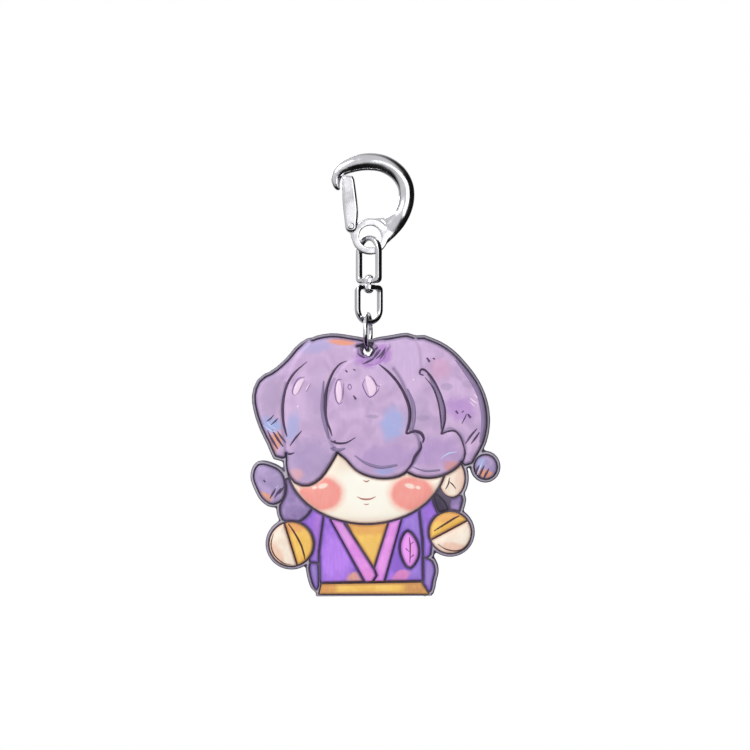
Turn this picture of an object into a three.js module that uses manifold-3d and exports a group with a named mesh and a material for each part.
// A keychain: a die-cast snap clasp with a sprung gate, a two-loop swivel, a split jump ring and a
// flat moulded charm in the shape of a small doll, built up from coloured pads on a dark backing plate.
// Millimetres, +Z up, front towards -Y. The origin is the point inside the clasp's bow that hangs on
// a hook.
import * as THREE from "three";
import { mergeVertices } from "three/addons/utils/BufferGeometryUtils.js";
import Module from "manifold-3d";

const wasm = await Module();
wasm.setup();

const DEG = Math.PI / 180;
const ROUND_SIDES = 20; // sides of a small round pin or hole

// Clasp
const BODY_HALF_DEPTH = 1.8;
const BODY_BEVEL = 0.85;
const EYE = { x: 0, z: -16.4, hole: 2.75, rim: 4.55, halfDepth: 0.65, recess: 5.4 };
const PIVOT = { x: -4.7, z: -13.9, gateRadius: 1.5, seatRadius: 1.78, tongueRadius: 1.3 };
const TONGUE_HALF_DEPTH = 0.6;
const GATE_HALF_DEPTH = 1.6;
const GATE_BEVEL = 0.5;
const GATE_SLOT_HALF = 0.78;
const PIN_RADIUS = 0.55;
const PIN_HOLE_RADIUS = 0.62;
const SPRING = { coilRadius: 0.5, wire: 0.24, turns: 6, bottom: -12.3, top: -6.9, lean: 5 };

// Swivel
const LOOP = { halfWidth: 4, thick: 1.3, depth: 1.6, bevel: 0.4 };
const SWIVEL_GAP = 0.3;
const SWIVEL_X = -0.3;
const UPPER_LOOP = { turn: -43, arcZ: -20.1, length: 8 };
const LOWER_LOOP = { turn: -34, length: 6.1 };
const BOSS_RADIUS = 1.7;
const RIVET = { shaft: 0.6, hole: 0.68, head: 1.2, dome: 0.9, play: 0.05 };

// Jump ring
const RING = { radius: 4.5, wire: 0.6, turn: -8, gapDegrees: 4, gapAt: 20, play: 0.8 };

// Charm
const PLATE_FRONT = -1.1;
const PLATE_BACK = 1.1;
const PAD_BACK = -1.15;
const RIM = 1.1; // how far the backing plate stands out round the pads
const GROOVE = 0.5; // dark line between two pads
const BLUNT = 1.15; // how much further a sharp corner may stand out than a side
const BORDER = { inner: 0.3, outer: 0.88, front: -1.75 }; // raised band that runs round all the pads
const HANG_HOLE = { x: -0.5, radius: 1.2, lug: 1.9, clear: 2.3, belowWire: 0.3 };

// Where the chain of loops ends up, from the eye downwards
const swivelTop = UPPER_LOOP.arcZ - UPPER_LOOP.length;
const lowerArcZ = swivelTop - SWIVEL_GAP - LOWER_LOOP.length;
const lowerBarZ = lowerArcZ - LOOP.halfWidth + LOOP.thick / 2;
const ringTopZ = lowerBarZ + LOOP.thick / 2 + RING.wire + RING.play;
const ringZ = ringTopZ - RING.radius;
const holeZ = ringZ - RING.radius - HANG_HOLE.belowWire;

const finishes = {
  castMetal: new THREE.MeshStandardMaterial({ color: "#c9cace", roughness: 0.22, metalness: 1 }),
  plate: new THREE.MeshStandardMaterial({ color: "#5d5468", roughness: 0.45, metalness: 0 }),
  border: new THREE.MeshStandardMaterial({ color: "#a29aae", roughness: 0.45, metalness: 0 }),
  hair: new THREE.MeshStandardMaterial({ color: "#c3a9d6", roughness: 0.45, metalness: 0 }),
  skin: new THREE.MeshStandardMaterial({ color: "#faf2e0", roughness: 0.45, metalness: 0 }),
  mustard: new THREE.MeshStandardMaterial({ color: "#f2c166", roughness: 0.45, metalness: 0 }),
  violet: new THREE.MeshStandardMaterial({ color: "#a97be0", roughness: 0.45, metalness: 0 }),
  pink: new THREE.MeshStandardMaterial({ color: "#e5a0e6", roughness: 0.45, metalness: 0 }),
  ink: new THREE.MeshStandardMaterial({ color: "#3c3844", roughness: 0.45, metalness: 0 }),
};

// ---- solids: three.js makes the shapes, manifold-3d only joins and cuts them

function solidOf(geometry) {
  const bare = geometry.clone();
  bare.deleteAttribute("normal");
  bare.deleteAttribute("uv");
  const merged = mergeVertices(bare, 1e-4);
  return new wasm.Manifold(
    new wasm.Mesh({
      numProp: 3,
      vertProperties: new Float32Array(merged.attributes.position.array),
      triVerts: new Uint32Array(merged.index.array),
    }),
  );
}

function geometryOf(solid) {
  const mesh = solid.getMesh();
  const geometry = new THREE.BufferGeometry();
  geometry.setAttribute("position", new THREE.BufferAttribute(mesh.vertProperties, 3));
  geometry.setIndex(new THREE.BufferAttribute(mesh.triVerts, 1));
  const faceted = geometry.toNonIndexed();
  faceted.computeVertexNormals();
  return faceted;
}

function cut(first, ...others) {
  return others.reduce((solid, other) => solid.subtract(other), first);
}

function join(first, ...others) {
  return others.reduce((solid, other) => solid.add(other), first);
}

// ---- outlines in the plane of the front view, as lists of Vector2, counter-clockwise

const at = (x, z) => new THREE.Vector2(x, z);

function smooth(points, steps, closed = true) {
  const knots = points.map(([x, z]) => new THREE.Vector3(x, z, 0));
  const curve = new THREE.CatmullRomCurve3(knots, closed, "centripetal");
  const found = curve.getSpacedPoints(steps).map((p) => at(p.x, p.y));
  if (!closed) return found;
  found.pop();
  return counterClockwise(found);
}

function straight(points) {
  return counterClockwise(points.map(([x, z]) => at(x, z)));
}

function counterClockwise(points) {
  return THREE.ShapeUtils.area(points) < 0 ? points.reverse() : points;
}

function arc(x, z, radius, from, to, steps) {
  return new THREE.EllipseCurve(x, z, radius, radius, from * DEG, to * DEG, to < from)
    .getPoints(steps)
    .map((p) => at(p.x, p.y));
}

function ellipse(x, z, radiusX, radiusZ, steps) {
  const found = new THREE.EllipseCurve(x, z, radiusX, radiusZ, 0, 2 * Math.PI).getPoints(steps);
  found.pop();
  return found;
}

// The outline moved outwards by a distance. A corner moves hardly further than a side, so it comes out
// blunt.
function grow(points, distance) {
  return points.map((point, i) => {
    const before = points[(i + points.length - 1) % points.length];
    const after = points[(i + 1) % points.length];
    const a = point.clone().sub(before).normalize();
    const b = after.clone().sub(point).normalize();
    const outward = at(a.y + b.y, -a.x - b.x);
    const mitre = distance * Math.sqrt(2 / Math.max(1 + a.dot(b), 0.1));
    return point.clone().addScaledVector(outward.normalize(), Math.min(mitre, BLUNT * distance));
  });
}

// An outline given its depth: the front view's plane is X and Z, and the depth runs along Y.
function slab(points, back, front, bevel = 0, holes = []) {
  const shape = new THREE.Shape(points);
  shape.holes = holes.map((hole) => new THREE.Path(hole));
  const geometry = new THREE.ExtrudeGeometry(shape, {
    depth: back - front - 2 * bevel,
    bevelEnabled: bevel > 0,
    bevelThickness: bevel,
    bevelSize: bevel,
    bevelOffset: -bevel,
    bevelSegments: 2,
    steps: 1,
  });
  return geometry.rotateX(Math.PI / 2).translate(0, back - bevel, 0);
}

function rodAlongY(x, z, radius, halfLength) {
  return new THREE.CylinderGeometry(radius, radius, 2 * halfLength, ROUND_SIDES).translate(x, 0, z);
}

function rodAlongZ(radius, low, high) {
  return new THREE.CylinderGeometry(radius, radius, high - low, ROUND_SIDES)
    .rotateX(Math.PI / 2)
    .translate(0, 0, (low + high) / 2);
}

function tubeAlong(path, radius, sides, steps) {
  const section = new THREE.Shape(ellipse(0, 0, radius, radius, sides));
  return new THREE.ExtrudeGeometry(section, { extrudePath: path, steps, bevelEnabled: false });
}

// The largest body of a solid: the slivers that a cut leaves beside it are dropped.
function largest(solid) {
  return solid.decompose().reduce((most, body) => (body.volume() > most.volume() ? body : most));
}

const keychain = new THREE.Group();

function piece(name, geometry, finish, parent = keychain) {
  const mesh = new THREE.Mesh(geometry, finish);
  mesh.name = name;
  parent.add(mesh);
  return mesh;
}

// ---- clasp: a cast D with the eye at its foot, a seat for the gate's root and a nose for the gate to
// shut on

function claspBody() {
  const outside = smooth(
    [[-7.75, -5.1], [-9.6, -3.4], [-9.3, -0.2], [-6.1, 3.1], [-0.4, 4.5], [5.9, 3],
     [9.9, -1.2], [11.1, -6.2], [10.1, -10.9], [6.9, -15.9]],
    34,
    false,
  );
  const window = smooth(
    [[-1.1, -12.1], [0.8, -12.15], [3.6, -11.7], [6, -10], [7.1, -7.2], [7.2, -4.4], [5.9, -1.7],
     [3.4, -0.35], [0.4, 0], [-2.6, -0.4], [-4.8, -0.75], [-6.5, -0.8]],
    34,
    false,
  );
  const noseInside = [at(-7.25, -1.4), at(-7.3, -3.4)];
  const outline = [
    ...outside,
    ...arc(EYE.x, EYE.z, EYE.rim, -38, -150, 12),
    at(-4.9, -16.9),
    ...arc(PIVOT.x, PIVOT.z, PIVOT.seatRadius, -95, -20, 6),
    ...window,
    ...noseInside,
  ];
  const frame = solidOf(slab(counterClockwise(outline), BODY_HALF_DEPTH, -BODY_HALF_DEPTH, BODY_BEVEL));
  const recessDepth = BODY_HALF_DEPTH - EYE.halfDepth;
  const recess = rodAlongY(EYE.x, EYE.z, EYE.recess, recessDepth / 2 + 1);
  const recessY = EYE.halfDepth + recessDepth / 2 + 1;
  const tongue = solidOf(rodAlongY(PIVOT.x, PIVOT.z, PIVOT.tongueRadius, TONGUE_HALF_DEPTH));
  const neckOutline = straight([[-4.9, -15], [-3.4, -16.4], [-2, -14.6], [-3.9, -13.1]]);
  const neck = solidOf(slab(neckOutline, TONGUE_HALF_DEPTH, -TONGUE_HALF_DEPTH));
  return cut(
    join(
      cut(
        frame,
        solidOf(recess.clone().translate(0, recessY, 0)),
        solidOf(recess.clone().translate(0, -recessY, 0)),
      ),
      tongue,
      neck,
    ),
    solidOf(rodAlongY(EYE.x, EYE.z, EYE.hole, 3)),
    solidOf(rodAlongY(PIVOT.x, PIVOT.z, PIN_HOLE_RADIUS, 3)),
  );
}

function claspGate() {
  const outline = [
    ...arc(PIVOT.x, PIVOT.z, PIVOT.gateRadius, 180, 360, 10),
    ...smooth([[-3.15, -12.6], [-2.95, -10.4], [-3.3, -6.5], [-3.9, -2.2]], 8, false),
    at(-4.3, -1.35),
    at(-6.2, -1.25),
    ...smooth([[-6.85, -1.8], [-6.95, -5], [-6.75, -9], [-6.35, -12.4]], 8, false),
  ];
  const bar = solidOf(slab(counterClockwise(outline), GATE_HALF_DEPTH, -GATE_HALF_DEPTH, GATE_BEVEL));
  const fork = solidOf(new THREE.BoxGeometry(6, 2 * GATE_SLOT_HALF, 5).translate(PIVOT.x, 0, -14.7));
  const pocket = solidOf(new THREE.BoxGeometry(4, 2 * GATE_SLOT_HALF, 6).translate(-3.95, 0, -9.6));
  return cut(bar, fork, pocket, solidOf(rodAlongY(PIVOT.x, PIVOT.z, PIN_HOLE_RADIUS, 3)));
}

function gatePin() {
  const shank = GATE_HALF_DEPTH + 0.05;
  const end = shank + 0.3;
  const profile = [
    [0, -end], [0.6, -end], [0.85, -shank - 0.12], [0.85, -shank], [PIN_RADIUS, -shank],
    [PIN_RADIUS, shank], [0.85, shank], [0.85, shank + 0.12], [0.6, end], [0, end],
  ].map(([r, y]) => at(r, y));
  return new THREE.LatheGeometry(profile, ROUND_SIDES).translate(PIVOT.x, 0, PIVOT.z);
}

class Helix extends THREE.Curve {
  getPoint(t, target = new THREE.Vector3()) {
    const turn = 2 * Math.PI * SPRING.turns * t;
    return target.set(
      SPRING.coilRadius * Math.cos(turn),
      SPRING.coilRadius * Math.sin(turn),
      t * (SPRING.top - SPRING.bottom),
    );
  }
}

function gateSpring() {
  return tubeAlong(new Helix(), SPRING.wire / 2, 5, 10 * SPRING.turns)
    .rotateY(-SPRING.lean * DEG)
    .translate(PIVOT.x - 0.1, 0, SPRING.bottom);
}

piece("clasp_body", geometryOf(claspBody()), finishes.castMetal);
piece("clasp_gate", geometryOf(claspGate()), finishes.castMetal);
piece("gate_pin", gatePin(), finishes.castMetal);
piece("gate_spring", gateSpring(), finishes.castMetal);

// ---- swivel: two stirrup loops, flat end to flat end, on a rivet

// A stirrup in its own frame: the round end's centre is at the origin, and the flat end lies below it.
function stirrup(length) {
  const half = LOOP.halfWidth;
  const inside = half - LOOP.thick;
  const corner = 1.3;
  const outline = [
    ...arc(0, 0, half, 0, 180, 18),
    ...arc(-half + corner, -length + corner, corner, 180, 270, 3),
    ...arc(half - corner, -length + corner, corner, 270, 360, 3),
  ];
  const hole = [
    ...arc(0, 0, inside, 0, 180, 16),
    ...arc(-inside + 0.6, -length + LOOP.thick + 0.6, 0.6, 180, 270, 2),
    ...arc(inside - 0.6, -length + LOOP.thick + 0.6, 0.6, 270, 360, 2),
  ];
  const band = solidOf(slab(outline, LOOP.depth / 2, -LOOP.depth / 2, LOOP.bevel, [hole]));
  const boss = solidOf(rodAlongZ(BOSS_RADIUS, -length, -length + LOOP.thick));
  return cut(join(band, boss), solidOf(rodAlongZ(RIVET.hole, -length - 1, -length + 3)));
}

const upperLoop = piece("swivel_upper_loop", geometryOf(stirrup(UPPER_LOOP.length)), finishes.castMetal);
upperLoop.rotation.z = UPPER_LOOP.turn * DEG;
upperLoop.position.set(SWIVEL_X, 0, UPPER_LOOP.arcZ);

const lowerLoop = piece("swivel_lower_loop", geometryOf(stirrup(LOWER_LOOP.length)), finishes.castMetal);
lowerLoop.rotation.set(Math.PI, 0, LOWER_LOOP.turn * DEG);
lowerLoop.position.set(SWIVEL_X, 0, lowerArcZ);

function swivelRivet() {
  const under = swivelTop - SWIVEL_GAP - LOOP.thick - RIVET.play;
  const over = swivelTop + LOOP.thick + RIVET.play;
  const dome = (z, sign) =>
    [0, 30, 60, 90].map((degrees) => {
      const angle = degrees * DEG;
      return at(RIVET.head * Math.cos(angle), z + sign * RIVET.dome * Math.sin(angle));
    });
  const shaft = [at(RIVET.shaft, under), at(RIVET.shaft, over)];
  const profile = [...dome(under, -1).reverse(), ...shaft, ...dome(over, 1)];
  profile[0].x = 0;
  profile[profile.length - 1].x = 0;
  return new THREE.LatheGeometry(profile, ROUND_SIDES).rotateX(Math.PI / 2).translate(SWIVEL_X, 0, 0);
}

piece("swivel_rivet", swivelRivet(), finishes.castMetal);

// ---- jump ring: round wire bent into a ring, with the cut where it opens

class RingPath extends THREE.Curve {
  getPoint(t, target = new THREE.Vector3()) {
    const turn = (RING.gapAt + RING.gapDegrees / 2 + t * (360 - RING.gapDegrees)) * DEG;
    return target.set(0, RING.radius * Math.cos(turn), RING.radius * Math.sin(turn));
  }
}

const jumpRing = piece("jump_ring", tubeAlong(new RingPath(), RING.wire, 10, 40), finishes.castMetal);
jumpRing.rotation.z = RING.turn * DEG;
jumpRing.position.set(HANG_HOLE.x, 0, ringZ);

// ---- charm: pads of coloured soft plastic on one dark plate. Its own origin is the hanging hole.

const charm = new THREE.Group();
charm.position.z = holeZ;
keychain.add(charm);

// How far forward each layer of the relief stands
const LAYER = { hair: -2.9, lock: -2.6, crop: -2.3, trim: -2.1, cloth: -1.9, skin: -1.6 };

const LEFT_HAND = { centre: [-19.6, -48], radius: 5.4, facing: 17, chord: -0.3 };
const RIGHT_HAND = { centre: [20, -45.1], radius: 5.1, facing: 118, chord: 0.4 };

// A round hand with its cuff: one disc, cut in two along a chord. The cuff is on the side it faces.
function handOutline({ centre, radius, facing, chord }) {
  const spread = Math.acos(chord / radius) / DEG;
  return arc(centre[0], centre[1], radius, facing + spread, facing - spread + 360, 24);
}

function cuffOutline({ centre, radius, facing, chord }) {
  const spread = Math.acos(chord / radius) / DEG;
  return arc(centre[0], centre[1], radius, facing - spread, facing + spread, 20);
}

// Each pad is cut back by a groove's width from every pad that comes before it in these lists.
const hairPads = [
  {
    name: "crown_tuft",
    outline: smooth([
      [-3.6, 0.6], [-3.2, -1.2], [-1.2, -3.1], [1.2, -3.3], [3.2, -2], [4, 0.2], [5.2, 1.7],
    ], 26),
    front: LAYER.hair,
    finish: "violet",
  },
  {
    name: "fringe_centre",
    outline: smooth([
      [-1, -1.6], [-5.6, -3.2], [-8.6, -7], [-10.4, -12], [-10.9, -17], [-9.8, -21.4], [-8.5, -24.4],
      [-5.9, -26.6], [-3, -29.6], [0.4, -31], [4.4, -31.4], [8.4, -30.2], [11, -27], [12.2, -23.8],
      [11.6, -21], [9.6, -19.4], [9.9, -15], [8.6, -9.4], [5.8, -4.6], [2.4, -2.2],
    ], 60),
    front: LAYER.hair,
    finish: "hair",
  },
  {
    name: "fringe_left",
    outline: smooth([
      [0, 1.4], [-5.4, 3], [-10.4, 3.4], [-15, 2], [-18.4, -2.4], [-20.6, -8], [-21.7, -14],
      [-21.3, -20], [-20.6, -25], [-20.4, -29.6], [-18.4, -32.6], [-15.4, -33.2], [-12.4, -31.4],
      [-10, -28], [-8.2, -24.6], [-6, -12], [-2, -3],
    ], 56),
    front: LAYER.lock,
    finish: "hair",
  },
  {
    name: "fringe_right",
    outline: smooth([
      [0, 1.4], [5.4, 3], [10.4, 3.3], [12.2, 0], [12.6, -4.2], [15, -7.4], [17.2, -12], [18.1, -17],
      [18, -20.2], [20, -19.5], [22.2, -20.8], [23.4, -24], [22.8, -27.2], [20.6, -29.4], [17, -31],
      [13, -31.2], [9.4, -29.6], [7, -20], [3, -4],
    ], 60),
    front: LAYER.lock,
    finish: "hair",
  },
  {
    name: "hair_side_left",
    outline: smooth([
      [-13.6, 2.6], [-17, 1.2], [-20.2, -2.4], [-23.6, -5.4], [-27, -7.4], [-28.4, -11], [-27.8, -15.4],
      [-26.3, -19.6], [-24.6, -23], [-22.8, -26.4], [-18, -24], [-15, -8],
    ], 40),
    front: LAYER.crop,
    finish: "hair",
  },
  {
    name: "hair_side_right",
    outline: smooth([
      [11.6, 3], [15.6, 2.2], [19.6, 0], [23.2, -3.6], [26.4, -8], [28.4, -13], [28.9, -18], [28, -22.6],
      [26.2, -26], [24.4, -28.4], [20, -24], [14, -12],
    ], 40),
    front: LAYER.crop,
    finish: "hair",
  },
  { name: "curl_right", outline: ellipse(28.8, -28.8, 2.7, 2.9, 20), front: LAYER.crop, finish: "hair" },
  {
    name: "flick_left",
    outline: smooth([
      [-24.2, -29], [-27.6, -28.4], [-28.8, -31], [-27.9, -34], [-26.4, -36.6], [-24.2, -37.9],
      [-21.8, -36.6], [-21.3, -33], [-22.2, -30.4],
    ], 30),
    front: LAYER.crop,
    finish: "hair",
  },
];

const headPads = [
  { name: "face", outline: ellipse(-0.9, -27.8, 19.6, 15, 60), front: LAYER.cloth, finish: "skin" },
  {
    name: "dark_lock",
    outline: smooth([[15.8, -35], [18.6, -37.4], [19.6, -40.6], [18.4, -41.4], [16.6, -38.8]], 18),
    front: LAYER.trim,
    finish: "ink",
  },
  { name: "ear", outline: ellipse(20.4, -31.6, 3.2, 4.7, 24), front: LAYER.skin, finish: "skin" },
  {
    name: "nape_left",
    outline: smooth([
      [-22.4, -33.4], [-20.8, -32], [-17, -32], [-14, -37], [-15.6, -40.6], [-18.2, -42.4],
      [-21.4, -42], [-22.3, -38.8], [-21.2, -36.2],
    ], 28),
    front: LAYER.skin,
    finish: "hair",
  },
  {
    name: "nape_right",
    outline: smooth([[20.4, -36.6], [22.8, -36.2], [22.6, -38.6], [21.4, -41], [20, -40.4]], 16),
    front: LAYER.skin,
    finish: "hair",
  },
];

// The whole disc of a hand, which the plate follows in place of the two outlines that it is cut into
const wholeHand = ({ centre, radius }) => ellipse(centre[0], centre[1], radius, radius, 40);

const handPads = [
  {
    name: "left_hand",
    outline: handOutline(LEFT_HAND),
    silhouette: wholeHand(LEFT_HAND),
    front: LAYER.crop,
    finish: "skin",
  },
  {
    name: "left_cuff",
    outline: cuffOutline(LEFT_HAND),
    silhouette: wholeHand(LEFT_HAND),
    front: LAYER.trim,
    finish: "mustard",
  },
  {
    name: "right_hand",
    outline: handOutline(RIGHT_HAND),
    silhouette: wholeHand(RIGHT_HAND),
    front: LAYER.crop,
    finish: "skin",
  },
  {
    name: "right_cuff",
    outline: cuffOutline(RIGHT_HAND),
    silhouette: wholeHand(RIGHT_HAND),
    front: LAYER.trim,
    finish: "mustard",
  },
];

const bodyPads = [
  {
    name: "belt",
    outline: straight([[-12, -58], [12.8, -57.6], [14.6, -60.4], [-12.6, -60.4]]),
    front: LAYER.trim,
    finish: "mustard",
  },
  {
    name: "lapel_left",
    outline: straight([
      [-9.6, -42], [-7.1, -42], [1, -54.6], [1.4, -55.8], [0.4, -57.4], [-1, -57.4],
    ]),
    front: LAYER.trim,
    finish: "pink",
  },
  {
    name: "lapel_right",
    outline: straight([[5.4, -41], [7.9, -41], [3.4, -57.2], [0.9, -57.2], [1, -55]]),
    front: LAYER.trim,
    finish: "pink",
  },
  {
    name: "shirt",
    outline: straight([[-6, -42], [6, -42], [1, -56]]),
    front: LAYER.skin,
    finish: "mustard",
  },
  {
    name: "vest_leaf",
    outline: smooth([[9.4, -45], [11.6, -47.6], [11.9, -51], [9.9, -53.8], [8.1, -51], [7.8, -47.8]], 24),
    front: LAYER.trim,
    finish: "pink",
  },
  {
    name: "vest_left",
    outline: straight([[-11.2, -40], [-9, -41], [0, -57.5], [-12.2, -57.6], [-12.4, -50]]),
    front: LAYER.cloth,
    finish: "violet",
  },
  {
    name: "vest_right",
    outline: straight([[6, -40], [12, -38.6], [12.9, -47], [13.1, -57.2], [3, -57.2]]),
    front: LAYER.cloth,
    finish: "violet",
  },
  {
    name: "side_left",
    outline: straight([
      [-19, -42.6], [-17, -37], [-10, -36], [-10.4, -42], [-12.2, -50], [-12.4, -52.6], [-14.8, -52.4],
      [-16, -46],
    ]),
    front: LAYER.skin,
    finish: "violet",
  },
  {
    name: "sleeve_left",
    outline: smooth([[-14.8, -53], [-13.4, -52.6], [-12.9, -56], [-13.2, -59.4], [-14.2, -57.6]], 16),
    front: LAYER.skin,
    finish: "violet",
  },
  {
    name: "sleeve_right",
    outline: smooth([
      [13.6, -51.8], [15.4, -52.4], [16.1, -54.6], [15.5, -57.2], [15, -59.6], [14, -60],
    ], 18),
    front: LAYER.skin,
    finish: "violet",
  },
  {
    name: "side_right",
    outline: straight([
      [11.6, -37], [15.4, -35.6], [18.4, -40], [15.8, -43], [15.4, -47], [15, -50.6], [13.4, -52.2],
      [12.8, -46],
    ]),
    front: LAYER.skin,
    finish: "violet",
  },
];

const pads = [...hairPads, ...handPads, ...headPads, ...bodyPads];
const neck = straight([
  [-22, -33], [20, -35], [15.4, -47], [12.6, -56], [-12.8, -56], [-15, -48],
]);

// All the outlines together, each moved outwards by a distance, as one solid.
function silhouetteSolid(distance, back, front) {
  const outlines = [
    ...pads.map((pad) => grow(pad.silhouette ?? pad.outline, distance)),
    grow(neck, distance),
    ellipse(HANG_HOLE.x, 0, HANG_HOLE.lug + distance, HANG_HOLE.lug + distance, 24),
  ];
  return join(...outlines.map((outline) => solidOf(slab(outline, back, front))));
}

const hangHole = solidOf(rodAlongY(HANG_HOLE.x, 0, HANG_HOLE.radius, 6));
const plate = cut(silhouetteSolid(RIM, PLATE_BACK, PLATE_FRONT), hangHole);
piece("backing_plate", geometryOf(plate), finishes.plate, charm);

const ringRoom = solidOf(rodAlongY(HANG_HOLE.x, 0, HANG_HOLE.clear, 6));
const border = cut(
  silhouetteSolid(BORDER.outer, PAD_BACK, BORDER.front),
  silhouetteSolid(BORDER.inner, 0, 2 * LAYER.hair),
  ringRoom,
);
piece("border", geometryOf(largest(border)), finishes.border, charm);

const taken = [ringRoom];
for (const { name, outline, front, finish } of pads) {
  const pad = cut(solidOf(slab(outline, PAD_BACK, front)), ...taken);
  piece(name, geometryOf(largest(pad)), finishes[finish], charm);
  taken.push(solidOf(slab(grow(outline, GROOVE), 0, 2 * LAYER.hair)));
}

export default keychain;
